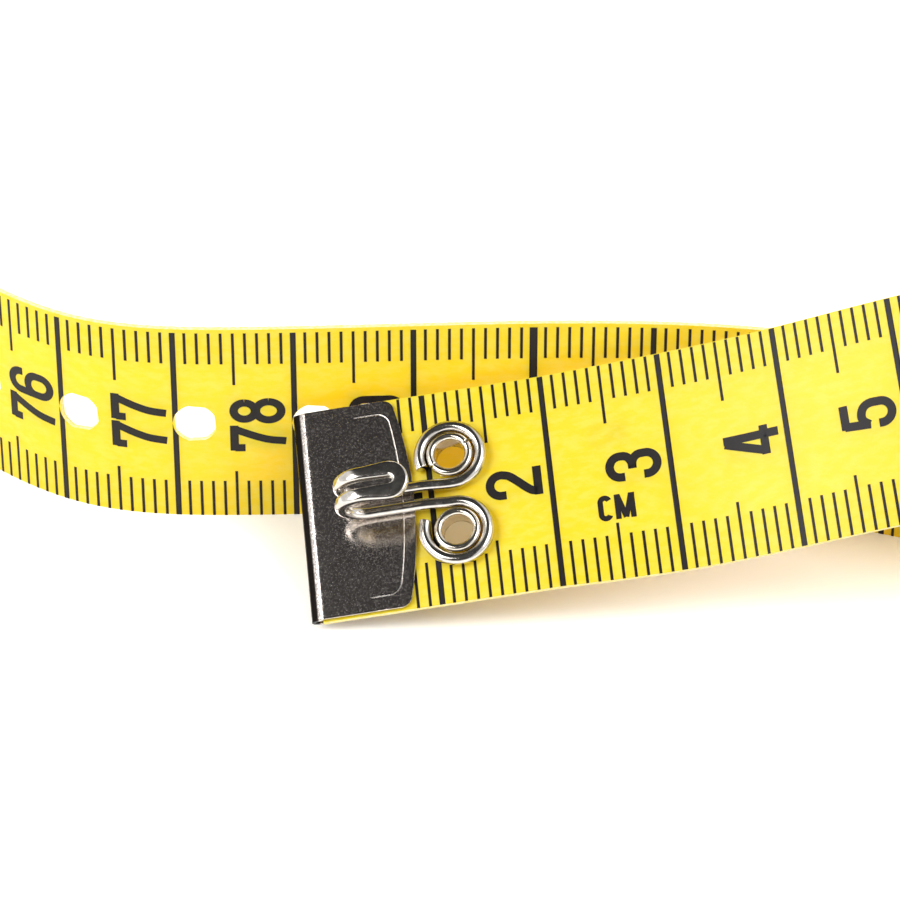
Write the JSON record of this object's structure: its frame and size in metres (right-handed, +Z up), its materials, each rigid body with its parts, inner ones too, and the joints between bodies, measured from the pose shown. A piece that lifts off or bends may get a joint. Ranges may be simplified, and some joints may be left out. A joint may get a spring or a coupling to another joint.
{
  "type": "cloth tape measure",
  "caption": "Dressmaker's waist tape in one loose standing loop: coated cloth tape with punched holes, folded metal end caps and a wire dress hook on eyelets.",
  "frame": {"origin": "centre of the bounding box in plan, on the surface that the tape stands on", "axes": "+Z up out of that surface, +Y away from the side with the hook end, +X along the hook end from its cap into the tape"},
  "size_m": [0.264, 0.2802, 0.0367],
  "materials": {
    "tape": "yellow coated cloth, satin, with a black printed centimetre scale on both faces",
    "cap": "dark nickel plate, finely grained, with an engraved border line",
    "wire": "polished nickel-plated wire",
    "eyelet": "polished nickel-plated eyelets"
  },
  "bodies": {
    "tape_coil": {"tape_loop": "tape"},
    "hook_end": {"tape_hook_end": "tape", "hook_end_cap": "cap", "dress_hook": "wire", "eyelet_upper": "eyelet", "eyelet_lower": "eyelet"},
    "tail_end": {"tape_tail_end": "tape", "tail_end_cap": "cap"}
  },
  "joints": [
    {"name": "hook_end_swing", "type": "hinge", "parent": "tape_coil", "child": "hook_end", "pos_m": [0.04464, -0.11785, 0.02861], "axis": [-0.1076, 0.5155, 0.8501], "range_deg": [0, 60], "stiffness_Nm_per_rad": 0.003},
    {"name": "tail_end_swing", "type": "hinge", "parent": "tape_coil", "child": "tail_end", "pos_m": [-0.10515, 0.08639, 0.0094], "axis": [0, 0, -1], "range_deg": [-4, 50], "stiffness_Nm_per_rad": 0.003}
  ]
}
